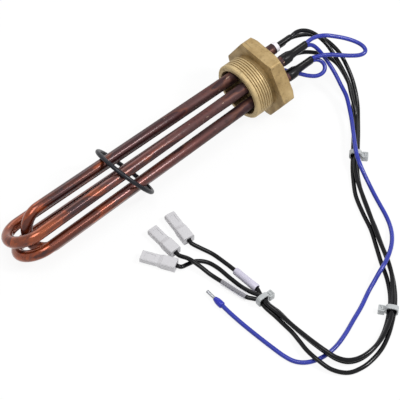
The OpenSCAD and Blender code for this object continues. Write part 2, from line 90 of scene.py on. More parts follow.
# Cable ties: place, heading, inside width and height, and the side that the head is on
TIES = [
    (21.1, -87.2, 224.6, 6.8, 6.3, 1), (-55.6, -202.4, 218.1, 6.8, 6.3, -1), (-117, -138, 90, 7, 6.3, -1)]
RING_LEAN = math.radians(33.7)
RING_YAW = math.radians(3.1)
# Middle of the solder on terminal 5, from the terminal's own axis
SOLDER = Vector((30.6, 0.9, 0.2))

# Camera of the photograph
CAMERA_TARGET = Vector((1.7, -42, 0)) * MM
CAMERA_TURN = math.radians(-40.8)
CAMERA_RISE = math.radians(52.5)
CAMERA_DISTANCE = 1200 * MM
CAMERA_LENS = 149.2

# Lamps: name, place and width in metres, and power in watts
LAMPS = [
    ("key", (0.55, -0.75, 1.05), 0.28, 10), ("fill", (-0.2, -0.15, 1.3), 0.6, 7),
    ("back", (0.4, 1.1, 0.8), 0.8, 3)]
LAMP_TARGET = Vector((0, -0.06, 0))
SURROUNDING_LIGHT = 0.42
PAPER_GLOW = 0.9


class HeaterSizes(bpy.types.PropertyGroup):
    """Sizes of the pieces that are modelled here"""

    hex_af: bpy.props.FloatProperty(
        name="Hexagon", description="Hexagon across its flats", default=55 * MM, unit="LENGTH")
    thread_d: bpy.props.FloatProperty(
        name="Thread", description="Outside diameter of the thread", default=45 * MM, unit="LENGTH")
    thread_pitch: bpy.props.FloatProperty(
        name="Pitch", description="Pitch of the thread", default=2 * MM, unit="LENGTH")
    thread_depth: bpy.props.FloatProperty(
        name="Thread depth", description="Depth of the thread", default=1.15 * MM, unit="LENGTH")
    tube_d: bpy.props.FloatProperty(
        name="Tube", description="Outside diameter of the heating tubes", default=8.5 * MM, unit="LENGTH")
    ring_id: bpy.props.FloatProperty(
        name="Ring", description="Inside diameter of the sealing ring", default=45 * MM, unit="LENGTH")
    ring_section: bpy.props.FloatProperty(
        name="Ring section", description="Diameter of the ring's section", default=3.4 * MM, unit="LENGTH")
    lead_d: bpy.props.FloatProperty(
        name="Lead", description="Outside diameter of the leads", default=3.2 * MM, unit="LENGTH")
    strap_w: bpy.props.FloatProperty(
        name="Strap width", description="Width of the cable ties", default=3.6 * MM, unit="LENGTH")
    strap_t: bpy.props.FloatProperty(
        name="Strap thickness", description="Thickness of the cable ties", default=1.2 * MM, unit="LENGTH")


def colour_property(label, code):
    """Colour of a finish, given as an sRGB hex code"""
    return bpy.props.StringProperty(name=label, description=f"Colour of the {label.lower()}", default=code)


class HeaterColours(bpy.types.PropertyGroup):
    """Colours of the finishes, as sRGB hex codes"""

    brass: colour_property("Brass", "#9f8659")
    brass_dark: colour_property("Tarnished brass", "#806942")
    brass_light: colour_property("Rubbed brass", "#b79f72")
    # Painted light: a paler brass mixed into the spigot in place of the light falling on it
    brass_painted_light: colour_property("Spigot brass with painted light", "#c6b083")
    copper_bright: colour_property("Copper near the tips", "#863f1c")
    copper_brown: colour_property("Brown oxide", "#612d1c")
    copper_red: colour_property("Red oxide", "#592c27")
    copper_dark: colour_property("Purple oxide", "#4b3130")
    copper_speck: colour_property("Scale specks", "#b29a86")
    ring_rubber: colour_property("Ring rubber", "#0a0b15")
    black_pvc: colour_property("Black insulation", "#09090c")
    blue_pvc: colour_property("Blue insulation", "#222e94")
    sleeve: colour_property("Shrink sleeve", "#0b0a0c")
    nylon: colour_property("Nylon", "#c3c2c5")
    slack: colour_property("Slack sleeves", "#cdc9da")
    collar: colour_property("Ferrule collar", "#151fa2")
    ceramic: colour_property("Ceramic", "#e6e3ea")
    floor: colour_property("Floor", "#f7f7f7")


def linear(code):
    """Linear RGBA of an sRGB hex code."""
    parts = [int(code[i:i + 2], 16) / 255 for i in (1, 3, 5)]
    return (*(c / 12.92 if c <= 0.04045 else ((c + 0.055) / 1.055) ** 2.4 for c in parts), 1)


def grey(value):
    """A grey as linear RGBA."""
    return (value, value, value, 1)


def per_mm(size):
    """Scale of a texture whose features are this many millimetres wide."""
    return 1 / (size * MM)


def add(tree, kind, inputs=None, stops=None, output=0, **settings):
    """Adds a node with its settings, inputs and ramp stops, and gives one of its outputs. Each input is a
    value or the socket that it is linked to, and each stop is a place and a colour."""
    node = tree.nodes.new(kind)
    for key, value in settings.items():
        setattr(node, key, value)
    for key, value in (inputs or {}).items():
        if isinstance(value, bpy.types.NodeSocket):
            tree.links.new(value, node.inputs[key])
        else:
            node.inputs[key].default_value = value
    if stops:
        elements = node.color_ramp.elements
        for element, (at, colour) in zip(elements, (stops[0], stops[-1])):
            element.position = at
            element.color = colour
        for at, colour in stops[1:-1]:
            elements.new(at).color = colour
    return node.outputs[output] if node.outputs else None


# Settings of a mix of two colours, and of one colour multiplied by another
BLEND = {"data_type": "RGBA", "output": 2}
TINT = {**BLEND, "blend_type": "MULTIPLY"}
# Most of a noise lies between these values.
NOISE_SPAN = {"From Min": 0.3, "From Max": 0.7}


def blank(name):
    """An empty material, and Object coordinates in its tree."""
    material = bpy.data.materials.new(name)
    material.use_nodes = True
    tree = material.node_tree
    tree.nodes.clear()
    return material, tree, add(tree, "ShaderNodeTexCoord", output="Object")


def brass(colours):
    """Turned brass that has gone dull: warm tan, olive in patches, with dark handling scratches."""
    material, tree, place = blank("turned_brass")
    along = add(tree, "ShaderNodeMapping", {"Vector": place, "Rotation": (0, TILT, 0)})
    patch = add(tree, "ShaderNodeTexNoise", {
        "Vector": along, "Scale": per_mm(16), "Detail": 6, "Roughness": 0.6})
    tone = add(tree, "ShaderNodeValToRGB", {"Fac": patch}, stops=(
        (0.32, linear(colours.brass_dark)), (0.5, linear(colours.brass)), (0.7, linear(colours.brass_light))))
    # The turned spigot is painted paler than the forged hexagon: painted light that stands in for the light
    # falling on it.
    axis_place = add(tree, "ShaderNodeSeparateXYZ", {"Vector": place})
    painted_light_share = add(tree, "ShaderNodeMapRange", {
        "Value": axis_place, "From Min": ORIGIN_X - 4 * MM, "From Max": ORIGIN_X - 2 * MM,
        "To Min": 0.6, "To Max": 0})
    tone = add(tree, "ShaderNodeMix", {0: painted_light_share, 6: tone, 7: linear(colours.brass_painted_light)}, **BLEND)
    speckle = add(tree, "ShaderNodeTexNoise", {
        "Vector": along, "Scale": per_mm(2.5), "Detail": 3, "Roughness": 0.55})
    spots = add(tree, "ShaderNodeValToRGB", {"Fac": speckle}, stops=((0.3, grey(0.74)), (0.42, grey(1))))
    # Scratches are hair lines; they are drawn 1.2 mm wide so that they show.
    slant = add(tree, "ShaderNodeMapping", {
        "Vector": along, "Rotation": (0.2, 0.9, 0.5), "Scale": (1, 0.04, 1)})
    hair = add(tree, "ShaderNodeTexNoise", {
        "Vector": slant, "Scale": per_mm(1.2), "Detail": 1, "Roughness": 0.55})
    scratch = add(tree, "ShaderNodeValToRGB", {"Fac": hair}, stops=((0.27, grey(0.66)), (0.34, grey(1))))
    spotted = add(tree, "ShaderNodeMix", {0: 1, 6: tone, 7: spots}, **TINT)
    scratched = add(tree, "ShaderNodeMix", {0: 1, 6: spotted, 7: scratch}, **TINT)
    dullness = add(tree, "ShaderNodeMapRange", {"Value": patch, **NOISE_SPAN, "To Min": 0.62, "To Max": 0.46})
    # Turning marks are about 0.1 mm apart; they are drawn 0.7 mm apart so that they show.
    marks = add(tree, "ShaderNodeTexWave", {
        "Vector": along, "Scale": per_mm(0.7) * math.pi / 10, "Distortion": 0.6, "Detail": 1},
        output="Fac", wave_type="BANDS", bands_direction="X")
    grit = add(tree, "ShaderNodeTexNoise", {
        "Vector": along, "Scale": per_mm(0.8), "Detail": 4, "Roughness": 0.55})
    height = add(tree, "ShaderNodeMath", {0: marks, 1: grit}, operation="ADD")
    bump = add(tree, "ShaderNodeBump", {"Height": height, "Strength": 0.16, "Distance": 0.05 * MM})
    shader = add(tree, "ShaderNodeBsdfPrincipled", {
        "Base Color": scratched, "Metallic": 0.4, "Roughness": dullness, "Normal": bump})
    add(tree, "ShaderNodeOutputMaterial", {"Surface": shader})
    return material


def copper(colours):
    """Copper sheath after its first heating: dark purple oxide near the plug, red and brown oxide
    in patches, clearer orange towards the tips, gloss in long streaks and a few pale specks."""
    material, tree, place = blank("oxidised_copper")
    leg_place = add(tree, "ShaderNodeSeparateXYZ", {"Vector": place})
    run = add(tree, "ShaderNodeMapRange", {
        "Value": leg_place, "From Min": -0.14, "From Max": 0.08, "To Min": 0, "To Max": 0.95})
    drawn = add(tree, "ShaderNodeMapping", {"Vector": place, "Scale": (0.3, 1, 1)})
    wide = add(tree, "ShaderNodeTexNoise", {
        "Vector": drawn, "Scale": per_mm(9), "Detail": 5, "Roughness": 0.6})
    blotch = add(tree, "ShaderNodeMath", {0: wide, 1: 1.5, 2: -0.75}, operation="MULTIPLY_ADD")
    age = add(tree, "ShaderNodeMath", {0: run, 1: blotch}, operation="ADD")
    tone = add(tree, "ShaderNodeValToRGB", {"Fac": age}, stops=(
        (0.02, linear(colours.copper_bright)), (0.3, linear(colours.copper_brown)),
        (0.36, linear(colours.copper_dark)), (0.44, linear(colours.copper_red)),
        (0.75, linear(colours.copper_dark))))
    # Burnt patches, about 15 mm wide and three times as long, end sharply in an orange rim.
    shifted = add(tree, "ShaderNodeMapping", {"Vector": drawn, "Location": (0.15, 0.01, 0.03)})
    heat = add(tree, "ShaderNodeTexNoise", {
        "Vector": shifted, "Scale": per_mm(15), "Detail": 3, "Roughness": 0.5})
    burnt = add(tree, "ShaderNodeValToRGB", {"Fac": heat}, stops=(
        (0.47, grey(1)), (0.51, (1.35, 1.15, 0.8, 1)), (0.54, (0.45, 0.38, 0.46, 1))))
    tone = add(tree, "ShaderNodeMix", {0: 1, 6: tone, 7: burnt}, **TINT)
    fine = add(tree, "ShaderNodeTexNoise", {
        "Vector": place, "Scale": per_mm(3), "Detail": 5, "Roughness": 0.65})
    flecks = add(tree, "ShaderNodeValToRGB", {"Fac": fine}, stops=(
        (0.3, grey(0.55)), (0.44, grey(1)), (0.7, grey(1.15))))
    flecked = add(tree, "ShaderNodeMix", {0: 1, 6: tone, 7: flecks}, **TINT)
    # Specks of scale sit mostly near the plug.
    scale = add(tree, "ShaderNodeTexNoise", {
        "Vector": drawn, "Scale": per_mm(1.6), "Detail": 2, "Roughness": 0.55})
    specks = add(tree, "ShaderNodeValToRGB", {"Fac": scale}, stops=((0.69, grey(0)), (0.73, grey(1))))
    near_plug = add(tree, "ShaderNodeMapRange", {
        "Value": leg_place, "From Min": -0.02, "From Max": 0.06, "To Min": 0, "To Max": 0.8})
    share = add(tree, "ShaderNodeMath", {0: specks, 1: near_plug}, operation="MULTIPLY")
    specked = add(tree, "ShaderNodeMix", {0: share, 6: flecked, 7: linear(colours.copper_speck)}, **BLEND)
    # From the ring to the tips the oxide film gives a pale streak; near the plug the sheath is dull.
    film = add(tree, "ShaderNodeMapRange", {
        "Value": leg_place, "From Min": -0.04, "From Max": 0.02, "To Min": 0.4, "To Max": 0})
    dull = add(tree, "ShaderNodeMapRange", {
        "Value": leg_place, "From Min": -0.05, "From Max": 0.03, "To Min": 0, "To Max": 0.36})
    lengthways = add(tree, "ShaderNodeMapping", {"Vector": place, "Scale": (0.05, 1, 1)})
    streak = add(tree, "ShaderNodeTexNoise", {
        "Vector": lengthways, "Scale": per_mm(2.5), "Detail": 2, "Roughness": 0.55})
    gloss = add(tree, "ShaderNodeMapRange", {"Value": streak, **NOISE_SPAN, "To Min": 0.3, "To Max": 0.14})
    roughness = add(tree, "ShaderNodeMath", {0: dull, 1: gloss}, operation="ADD")
    bump = add(tree, "ShaderNodeBump", {"Height": fine, "Strength": 0.12, "Distance": 0.1 * MM})
    shader = add(tree, "ShaderNodeBsdfPrincipled", {
        "Base Color": specked, "Metallic": 0.6, "Roughness": roughness, "Normal": bump,
        "Coat Weight": film, "Coat Roughness": 0.14})
    add(tree, "ShaderNodeOutputMaterial", {"Surface": shader})
    return material


def moulded(name, code, roughness, spread, grain, depth=0.1, bump=0.1, **sockets):
    """Moulded or extruded plastic: even colour with a slight cloud of that spread, and a fine grain in its
    gloss, whose width and depth are in millimetres."""
    material, tree, place = blank(name)
    cloud = add(tree, "ShaderNodeTexNoise", {
        "Vector": place, "Scale": per_mm(9), "Detail": 3, "Roughness": 0.55})
    shade = add(tree, "ShaderNodeValToRGB", {"Fac": cloud}, stops=(
        (0.3, grey(1 - spread)), (0.7, grey(1 + spread))))
    tone = add(tree, "ShaderNodeMix", {0: 1, 6: linear(code), 7: shade}, **TINT)
    fine = add(tree, "ShaderNodeTexNoise", {
        "Vector": place, "Scale": per_mm(grain), "Detail": 2, "Roughness": 0.55})
    gloss = add(tree, "ShaderNodeMapRange", {
        "Value": fine, **NOISE_SPAN, "To Min": roughness - 0.05, "To Max": roughness + 0.06})
    uneven = add(tree, "ShaderNodeBump", {"Height": fine, "Strength": bump, "Distance": depth * MM})
    shader = add(tree, "ShaderNodeBsdfPrincipled", {
        "Base Color": tone, "Roughness": gloss, "Normal": uneven,
        **{key.replace("_", " "): value for key, value in sockets.items()}})
    add(tree, "ShaderNodeOutputMaterial", {"Surface": shader})
    return material


def metal(name, code, roughness):
    """Drawn or stamped metal: darker and lighter specks in its colour and its gloss."""
    material, tree, place = blank(name)
    fine = add(tree, "ShaderNodeTexNoise", {
        "Vector": place, "Scale": per_mm(0.7), "Detail": 3, "Roughness": 0.55})
    shade = add(tree, "ShaderNodeValToRGB", {"Fac": fine}, stops=((0.3, grey(0.8)), (0.65, grey(1))))
    tone = add(tree, "ShaderNodeMix", {0: 1, 6: linear(code), 7: shade}, **TINT)
    gloss = add(tree, "ShaderNodeMapRange", {
        "Value": fine, **NOISE_SPAN, "To Min": roughness - 0.06, "To Max": roughness + 0.06})
    shader = add(tree, "ShaderNodeBsdfPrincipled", {"Base Color": tone, "Metallic": 1, "Roughness": gloss})
    add(tree, "ShaderNodeOutputMaterial", {"Surface": shader})
    return material


def finish(key):
    """The material of that name, made on its first use."""
    found = bpy.data.materials.get(key)
    return found if found else FINISHES[key](bpy.context.scene.heater_colours)


FINISHES = {
    "turned_brass": brass,
    "oxidised_copper": copper,
    # Nitrile rubber: satin, a little blue in the light
    "nitrile_rubber": lambda c: moulded(
        "nitrile_rubber", c.ring_rubber, 0.36, 0.15, 1.2, Specular_IOR_Level=0.3),
    # Extruded PVC insulation: a narrow streak of gloss along the black wire, a softer one along the blue
    "black_pvc": lambda c: moulded("black_pvc", c.black_pvc, 0.14, 0.15, 1.5, Specular_IOR_Level=0.2),
    "blue_pvc": lambda c: moulded("blue_pvc", c.blue_pvc, 0.26, 0.1, 1.5, Specular_IOR_Level=0.4),
    # Polyolefin shrink sleeve: satin, slightly uneven from the heat
    "shrunk_polyolefin": lambda c: moulded(
        "shrunk_polyolefin", c.sleeve, 0.3, 0.2, 3, 0.4, 0.25, Specular_IOR_Level=0.2),
    # Moulded natural nylon: milky grey, satin
    "natural_nylon": lambda c: moulded("natural_nylon", c.nylon, 0.42, 0.04, 1.2),
    # Thin nylon strap: smooth and grey, because what it holds shows through
    "clear_nylon": lambda c: moulded("clear_nylon", "#a9acad", 0.3, 0.05, 1.2),
    # Cloudy soft sleeve, and a clear one that shows its wire
    "cloudy_pvc": lambda c: moulded(
        "cloudy_pvc", c.slack, 0.35, 0.05, 2, Transmission_Weight=0.15, IOR=1.5),
    "clear_pvc": lambda c: moulded("clear_pvc", "#e9e7f0", 0.14, 0.03, 4, bump=0.05, Alpha=0.16),
    # Moulded polypropylene: strong blue, slightly glossy
    "moulded_polypropylene": lambda c: moulded("moulded_polypropylene", c.collar, 0.28, 0.06, 1.2),
    # Fired ceramic and pressed powder: white and matt
    "steatite": lambda c: moulded("steatite", c.ceramic, 0.55, 0.05, 0.8),
    "magnesia": lambda c: moulded("magnesia", "#e6e2da", 0.85, 0.08, 0.6),
    # Drawn and stamped metals and solder: plain metal colours, from satin steel to bright tin
    "drawn_steel": lambda c: metal("drawn_steel", "#8c8986", 0.35),
    "resistance_wire": lambda c: metal("resistance_wire", "#77736f", 0.4),
    "stamped_brass": lambda c: metal("stamped_brass", "#c6a458", 0.3),
    "tinned_copper": lambda c: metal("tinned_copper", "#9fa1a6", 0.25),
    "solder": lambda c: metal("solder", "#a9aaad", 0.35),
}


def start():
    """Leaves edit mode and deselects everything, before a primitive is added."""
    if bpy.context.mode != "OBJECT":
        bpy.ops.object.mode_set(mode="OBJECT")
    bpy.ops.object.select_all(action="DESELECT")


def hold(piece):
    """Selects one piece alone and makes it active."""
    start()
    piece.select_set(True)
    bpy.context.view_layer.objects.active = piece


def named(name):
    """The primitive that was just added, named, with its place in its mesh."""
    bpy.ops.object.transform_apply(location=True, rotation=True, scale=True)
    piece = bpy.context.view_layer.objects.active
    piece.name = name
    piece.data.name = name
    return piece


def edit():
    """Goes into edit mode on the active piece."""
    bpy.ops.object.mode_set(mode="EDIT")


def pick(piece, kind, test):
    """Selects, in edit mode, the faces, edges or vertices whose middle passes the test."""
    bpy.ops.mesh.select_mode(type=kind)
    bpy.ops.mesh.select_all(action="DESELECT")
    mesh = bmesh.from_edit_mesh(piece.data)
    for part in {"VERT": mesh.verts, "EDGE": mesh.edges, "FACE": mesh.faces}[kind]:
        if kind == "VERT":
            chosen = test(part.co)
        elif kind == "EDGE":
            a, b = part.verts[0].co, part.verts[1].co
            chosen = test((a + b) / 2, (b - a).normalized())
        else:
            chosen = test(part.calc_center_median(), part.normal)
        if chosen:
            part.select_set(True)
    mesh.select_flush_mode()
    bmesh.update_edit_mesh(piece.data)


def pull(*offset):
    """Extrudes the selection by an offset in millimetres."""
    bpy.ops.mesh.extrude_region_move(TRANSFORM_OT_translate={"value": [v * MM for v in offset]})


def grow(y, z):
    """Scales the selection across the axis."""
    bpy.ops.transform.resize(value=(1, y, z), center_override=(0, 0, 0))


def tidy_normals():
    """Merges doubles and turns all faces outwards, in edit mode."""
    bpy.ops.mesh.select_all(action="SELECT")
    bpy.ops.mesh.remove_doubles(threshold=0.001 * MM)
    bpy.ops.mesh.normals_make_consistent(inside=False)


def leave():
    """Leaves edit mode with the mesh merged and its faces outwards."""
    tidy_normals()
    bpy.ops.object.mode_set(mode="OBJECT")


def point(name):
    """A piece of one point on the axis, selected in edit mode, to be drawn out."""
    start()
    bpy.ops.mesh.primitive_plane_add(size=MM)
    piece = named(name)
    edit()
    bpy.ops.mesh.select_mode(type="VERT")
    bpy.ops.mesh.select_all(action="SELECT")
    bpy.ops.mesh.merge(type="CENTER")
    return piece


def disc(name, sides, radius, x, y=0):
    """A filled circle across the axis, selected in edit mode, to be drawn out; its place is in millimetres."""
    start()
    bpy.ops.mesh.primitive_circle_add(
        vertices=sides, radius=radius, fill_type="NGON", location=(x * MM, y * MM, 0),
        rotation=(0, math.pi / 2, 0))
    piece = named(name)
    edit()
    bpy.ops.mesh.select_mode(type="FACE")
    bpy.ops.mesh.select_all(action="SELECT")
    return piece


def turned(name, profile, sides):
    """A profile of (place, radius) in millimetres, drawn point by point and spun about the axis."""
    piece = point(name)
    bpy.ops.transform.translate(value=[profile[0][0] * MM, profile[0][1] * MM, 0])
    for a, b in zip(profile, profile[1:]):
        pull(b[0] - a[0], b[1] - a[1], 0)
    bpy.ops.mesh.select_all(action="SELECT")
    bpy.ops.mesh.spin(steps=sides, angle=2 * math.pi, center=(0, 0, 0), axis=(1, 0, 0))
    leave()
    return piece


def settle(piece, matrix, angle):
    """Puts a piece in its place and shades it smooth up to an angle."""
    hold(piece)
    piece.data.transform(matrix)
    piece.data.update()
    bpy.ops.object.shade_smooth_by_angle(angle=math.radians(angle))
    return piece


def modify(piece, kind, **settings):
    """Adds a modifier and applies it."""
    hold(piece)
    modifier = piece.modifiers.new(kind.lower(), kind)
    for key, value in settings.items():
        setattr(modifier, key, value)
    bpy.ops.object.modifier_apply(modifier=modifier.name)
    return piece


def soften(piece, width, angle):
    """Rounds the edges that are sharper than an angle; the width is in millimetres."""
    return modify(piece, "BEVEL", width=width * MM, segments=2, limit_method="ANGLE",
                  angle_limit=math.radians(angle))


def join(piece, other):
    """Makes another piece part of a piece."""
    hold(piece)
    other.select_set(True)
    bpy.ops.object.join()
    return piece


def cut(piece, tool, operation):
    """Joins, cuts or crosses a piece with a tool body, which is then removed."""
    modify(piece, "BOOLEAN", operation=operation, solver="EXACT", object=tool)
    bpy.data.objects.remove(tool)


def wear(piece, material, slot, *nodes):
    """Gives a piece its material, the nodes that it stands for and its body. The slot is not used."""
    piece.data.materials.clear()
    piece.data.materials.append(finish(material))
    if nodes:
        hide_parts(*nodes)
    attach(piece, "root")


def around(k):
    """Sideways and upward place of terminal k on the plug, in millimetres."""
    angle = math.radians(60 * (k - 1))
    return Vector((0, PITCH_R * math.cos(angle), PITCH_R * math.sin(angle)))


def at_terminal(k):
    """Place of terminal k's own axis in the frame."""
    return HEATER @ Matrix.Translation(around(k) * MM)


def beside(x, y, z, heading):
    """Place on the surface beside the heater, from the sealing face, heading along x."""
    place = Matrix.Translation((ORIGIN_X + x * MM, y * MM, z * MM))
    return place @ Matrix.Rotation(math.radians(heading), 4, "Z")


def on_terminal(k, x, up=0.0):
    """Point of a route on terminal k's axis, or that far above it."""
    place = HEATER @ ((Vector((x, 0, up)) + around(k)) * MM) / MM
    return (place.x - ORIGIN_X / MM, place.y, place.z)


def ahead(place, height, *distances):
    """Points of a route along the heading of a connector or the ferrule."""
    x, y, heading = place
    turn = math.radians(heading)
    return [(x + d * math.cos(turn), y + d * math.sin(turn), height) for d in distances]


# Two leads in one sleeve lie this far off its axis.
LEAD_OFFSET = 1.65
# Routes of the leads, in millimetres from the sealing face
ROUTES = {
    "black_lead_1": [
        on_terminal(6, PIN_END), on_terminal(6, SLEEVE_ONE_END),
        (47, 6, 18), (54, 3, 17.5), (60, -2, 16.5), (65, -9, 15), (67.5, -18, 12.5), (66.5, -27, 9.5),
        (64, -36, 6.5), (60, -45, 4.2), (52.8, -52.2, 2.8), (44.7, -61, 2), (36, -70.2, 2.3),
        (27.7, -78.3, 2.7), (19.9, -86, 2.9), (12.1, -93.7, 2.4), (4.7, -102.3, 1.7), (-3.9, -113.7, 1.6),
        (-10.9, -128.1, 1.6), (-17, -142.7, 1.6), (-24.6, -155.9, 1.6), (-31.8, -168.2, 1.6),
        (-37.8, -179.6, 1.6), (-44.4, -189.1, 1.9), (-50.4, -195.8, 2.5), (-56.7, -201.1, 2.9),
        (-63.4, -206, 2.4), (-72, -211, 1.7), (-81.9, -214.7, 1.6), (-91.3, -216.1, 1.6), (-100, -215.2, 1.6),
        (-106.9, -211.7, 2.2), (-111.4, -205.9, 3.6), (-113.9, -197.8, 5), (-115.1, -188.6, 5),
        (-115, -179.2, 3.4), (-114.7, -169.9, 2), (-114.5, -160.8, 1.6), (-114.4, -151.8, 1.9),
        (-115.7, -144.1, 2.5), (-115.3, -138, 2.9), (-115.3, -135.8, 2.9), (-114.3, -132, 3),
        (-113.2, -128, 3), (-114.5, -107, 3), (-115, -96, 1.9), (-116.5, -85, 1.7), (-120, -76, 2.6),
        *ahead(CONNECTORS[0], CONNECTOR_AXIS, -3.5, 0, WIRE_IN_CONNECTOR)],
    "black_lead_2": [
        on_terminal(1, PIN_END), on_terminal(1, SLEEVE_ONE_END),
        (47, 12.5, 30.5), (53, 9, 32), (59, 3.5, 33), (63.5, -3.5, 32.5), (66, -12, 30), (67, -21, 26),
        (66.1, -29.1, 21), (63.8, -38, 15.5), (59.7, -46.9, 10.2), (54.5, -55, 5.2), (47.2, -63.3, 2),
        (38.4, -72.5, 2.3), (30.1, -80.7, 2.7), (22.3, -88.4, 2.9), (14.6, -96, 2.4), (7.6, -104.5, 1.7),
        (0.3, -116.1, 1.6), (-7, -130, 1.6), (-13.8, -144.3, 1.6), (-21, -157.9, 1.6), (-27.5, -170.5, 1.6),
        (-34.3, -181.9, 1.6), (-41.6, -191.4, 1.9), (-48.1, -198.2, 2.5), (-54.6, -203.8, 2.9),
        (-61.5, -208.8, 2.4), (-70.4, -214.3, 1.7), (-80.7, -218.9, 1.6), (-91.2, -221.2, 1.6),
        (-101.8, -221.3, 1.6), (-112, -218, 1.7), (-119.2, -209.8, 3.2), (-122, -199.5, 5), (-122.4, -189, 5),
        (-120.6, -179.1, 3.8), (-118.7, -169.9, 2), (-118.4, -160.8, 1.6), (-118.5, -152.1, 1.9),
        (-119.1, -144.2, 2.5), (-118.7, -138, 2.9), (-118.7, -135.8, 2.9), (-121, -132.3, 3),
        (-123.4, -128.5, 3), (-127.8, -108, 3), (-130, -98, 3.4), (-131.8, -88.5, 5.2), (-133.8, -79.5, 5.8),
        *ahead(CONNECTORS[1], CONNECTOR_AXIS, -3.5, 0, WIRE_IN_CONNECTOR)],
    "black_lead_3": [
        on_terminal(2, PIN_END), on_terminal(2, SLEEVE_ONE_END),
        (47, 6.5, 42), (52, 4, 42), (56, 0, 40.5), (59, -6, 37.5), (61, -13, 33), (61, -22, 27.5),
        (60, -31, 22.5), (58, -40, 17.5), (54, -47.8, 13), (49.8, -56.2, 8.6), (45.9, -62.1, 4.9),
        (37.2, -71.3, 5.2), (28.9, -79.5, 5.6), (21.1, -87.2, 5.8), (13.3, -94.8, 5.3), (6.5, -103.7, 4.7),
        (-0.4, -115.7, 4.9), (-7.6, -129.7, 4.9), (-15, -143.7, 4.6), (-22, -157.3, 4.8),
        (-28.1, -170.2, 4.9), (-35, -181.4, 4.8), (-42.9, -190.4, 4.8), (-49.2, -197, 5.4),
        (-55.6, -202.4, 5.8),
        (-62.4, -207.4, 5.3), (-71.5, -212.1, 4.8), (-81.6, -215.6, 4.8), (-91.3, -216.8, 4.9),
        (-100.1, -215.7, 4.9), (-107.2, -212.2, 5.5), (-112.1, -206.2, 6.9), (-114.6, -198, 8.2),
        (-115.9, -188.6, 8.2), (-116, -179.2, 6.6), (-116, -169.9, 5.1), (-116.1, -160.8, 4.5),
        (-116.4, -151.9, 4.6), (-117.4, -144.2, 5.4), (-117, -138, 5.8), (-117, -135.8, 5.7),
        (-117.6, -132, 4.9), (-118.6, -127.5, 3.4), (-119.8, -119, 1.8), (-120.8, -108, 1.6),
        (-121.5, -97, 1.6), (-124, -88, 1.6), (-129.5, -82, 1.6), (-136, -80.4, 2),
        *ahead(CONNECTORS[2], CONNECTOR_AXIS, -3.5, 0, WIRE_IN_CONNECTOR)],
    "blue_lead": [
        on_terminal(3, PIN_END, -LEAD_OFFSET), on_terminal(3, SLEEVE_TWO_END, -LEAD_OFFSET),
        (49.5, -7.5, 37), (52.8, -10, 33), (55, -14, 28), (56, -20.5, 22.8), (55.8, -28, 17.8),
        (54, -36.5, 13.5), (50.8, -45.9, 11.5), (45.5, -54.9, 9.6), (39.3, -63.9, 8.6), (32.1, -73.1, 8.6),
        (24.6, -82.2, 10.1), (18.5, -90.3, 10.9), (14.2, -98, 10), (12, -105.3, 6.4), (10.1, -112.9, 3),
        (7.2, -121.2, 1.7), (3.8, -130.3, 1.6), (0.5, -139.3, 1.6), (-3.5, -147.8, 1.7), (-9.5, -156, 3.4),
        (-17.4, -163.4, 6.2), (-26.1, -169.3, 8.3), (-34, -173.1, 8.6), (-41.4, -175.5, 7.3),
        (-47.7, -177.3, 4.2), (-55.4, -179.8, 2), (-68, -185.5, 1.6), (-80, -190, 1.6), (-92, -194.5, 1.6),
        (-103, -197.5, 1.6), (-112, -198.2, 1.6), (-120.5, -197, 1.6), (-128, -193.5, 1.6), (-133, -188, 1.6),
        (-135.5, -180.5, 1.6), (-137, -170, 1.6), (-138.4, -157, 1.6), (-139.6, -144, 1.8),
        (-140.4, -132, 2.3),
        *ahead(FERRULE, FERRULE_AXIS, 0, WIRE_IN_FERRULE)],
    "blue_link_1": [
        on_terminal(3, PIN_END, LEAD_OFFSET), on_terminal(3, SLEEVE_TWO_END, LEAD_OFFSET),
        (51, -7.5, 44), (58, -11, 44.5), (64.8, -15.8, 42.6), (71.6, -21.5, 40), (76.8, -27.7, 37.4),
        (78.8, -33, 35.4), (77.2, -36.6, 34.3), (72.6, -36.4, 33.7), (66.8, -32, 33.3), (61, -26, 33),
        (54.5, -19, 32.2),
        on_terminal(4, SLEEVE_TWO_END, LEAD_OFFSET), on_terminal(4, PIN_END, LEAD_OFFSET)],
    "blue_link_2": [
        on_terminal(4, PIN_END, -LEAD_OFFSET), on_terminal(4, SLEEVE_TWO_END, -LEAD_OFFSET),
        (48.5, -14.3, 27.2), (51.2, -17, 25.8), (51.2, -20.8, 23.8), (48, -23.2, 21.6), (42.5, -22.3, 20.4),
        (37.5, -18.3, 20.6), (33, -13.3, 21.8), (28, -8, 23.2), (23.5, -3.6, 25), (18.5, -0.2, 25.6),
        (14.6, 1.2, 23.2), (14.2, 1, 19.4), (17.8, 0.4, 17.2), (23, 0, 17), (28, -0.8, 17.3),
        (31.8, -4.1, 17.5)],
}


def in_frame(place):
    """A route's point in the frame, in metres."""
    return Vector(place) * MM + Vector((ORIGIN_X, 0, 0))


def smooth_wire(name, points, radius):
    """A round wire on one smooth curve through its points."""
    curve = bpy.data.curves.new(name, "CURVE")
    curve.dimensions = "3D"
    spline = curve.splines.new("BEZIER")
    spline.bezier_points.add(len(points) - 1)
    for i, knot in enumerate(spline.bezier_points):
        before, after = points[max(i - 1, 0)], points[min(i + 1, len(points) - 1)]
        way = (after - before).normalized()
        knot.handle_left_type = knot.handle_right_type = "FREE"
        knot.co = points[i]
        knot.handle_left = points[i] - way * (points[i] - before).length / 3
        knot.handle_right = points[i] + way * (after - points[i]).length / 3
    curve.resolution_u = 7
    curve.bevel_depth = radius
    curve.bevel_resolution = 6
    curve.use_fill_caps = True
    piece = bpy.data.objects.new(name, curve)
    bpy.context.scene.collection.objects.link(piece)
    return piece


